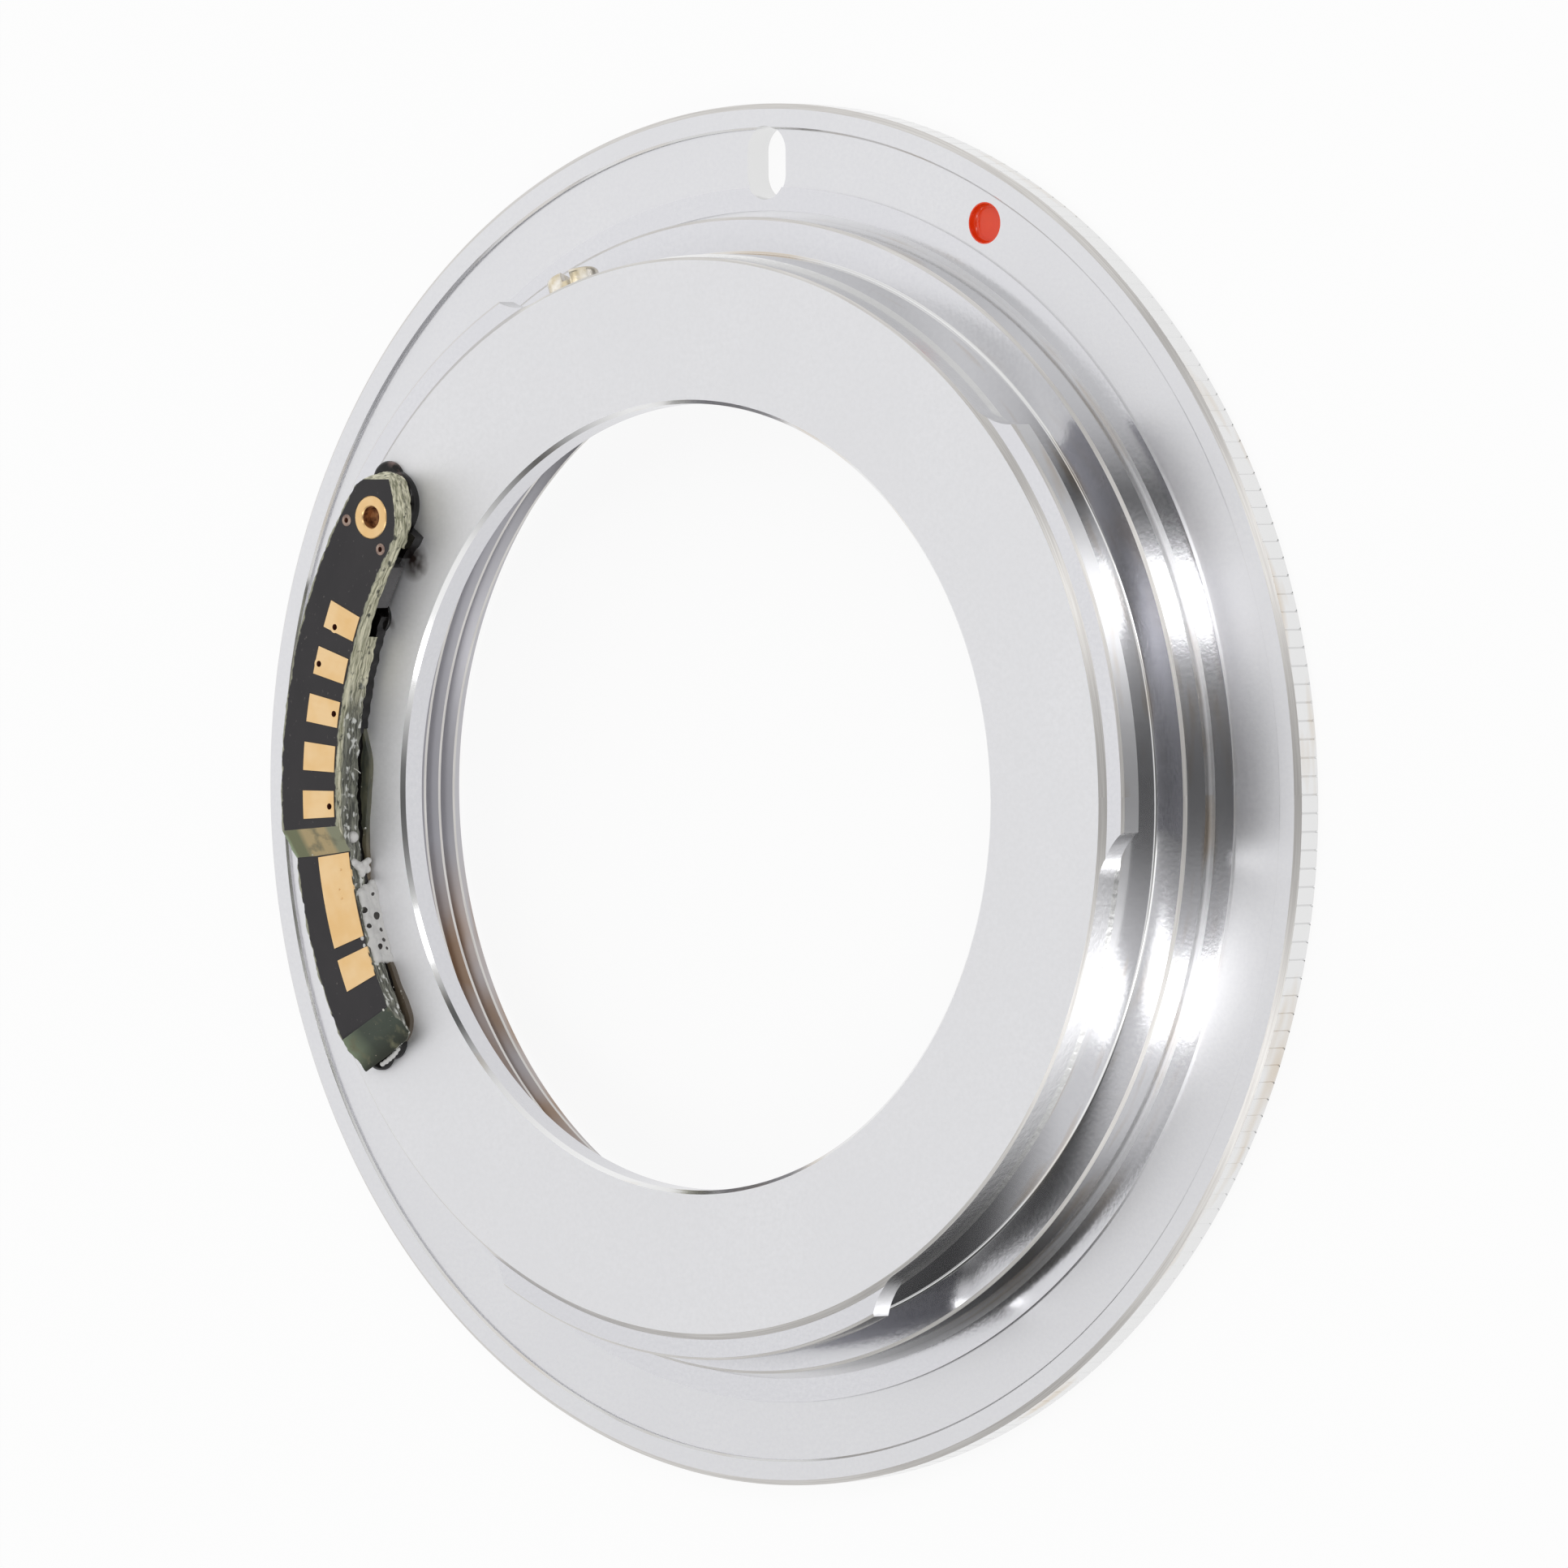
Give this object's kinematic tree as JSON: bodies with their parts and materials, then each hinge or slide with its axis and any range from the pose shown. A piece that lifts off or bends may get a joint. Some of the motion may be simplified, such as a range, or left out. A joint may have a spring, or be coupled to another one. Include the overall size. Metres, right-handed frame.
{
  "type": "lens mount adapter",
  "caption": "Thin metal ring that lets a screw-thread lens fit a bayonet camera, with a small curved contact board on its camera side.",
  "frame": {"origin": "centre of the lens-side face, on the ring's axis; the ring lies on that face", "axes": "+Z along the ring's axis, towards the camera; +Y towards the locking slot, within half a degree"},
  "size_m": [0.0646, 0.0646, 0.0093],
  "materials": {
    "plated_brass": "satin nickel and chrome plate over turned brass",
    "red_enamel": "glossy red enamel in a drilled recess",
    "screw_steel": "turned and slotted, slightly yellowed plate",
    "board_laminate": "black solder mask on woven glass laminate with pale filed edges",
    "strip_laminate": "dark olive glass laminate",
    "epoxy": "black poured epoxy",
    "sealant": "pale grey cured sealant, lumpy",
    "chip_plastic": "moulded dark grey package",
    "capacitor_ceramic": "fired tan ceramic",
    "contact_gold": "gold plate on copper, lightly brushed"
  },
  "bodies": {
    "root": {"adapter_body": "plated_brass", "index_dot": "red_enamel", "stop_screw": "screw_steel", "top_board": "board_laminate", "base_board": "board_laminate", "carrier_strip": "strip_laminate", "adhesive_bed": "epoxy", "sealant_bead": "sealant", "microcontroller": "chip_plastic", "ceramic_capacitor": "capacitor_ceramic", "eyelet_contact": "contact_gold", "long_contact": "contact_gold", "end_contact": "contact_gold", "contact_pad_1": "contact_gold", "contact_pad_2": "contact_gold", "contact_pad_3": "contact_gold", "contact_pad_4": "contact_gold", "contact_pad_5": "contact_gold", "via_ring_1": "contact_gold", "via_ring_2": "contact_gold"}
  },
  "joints": []
}
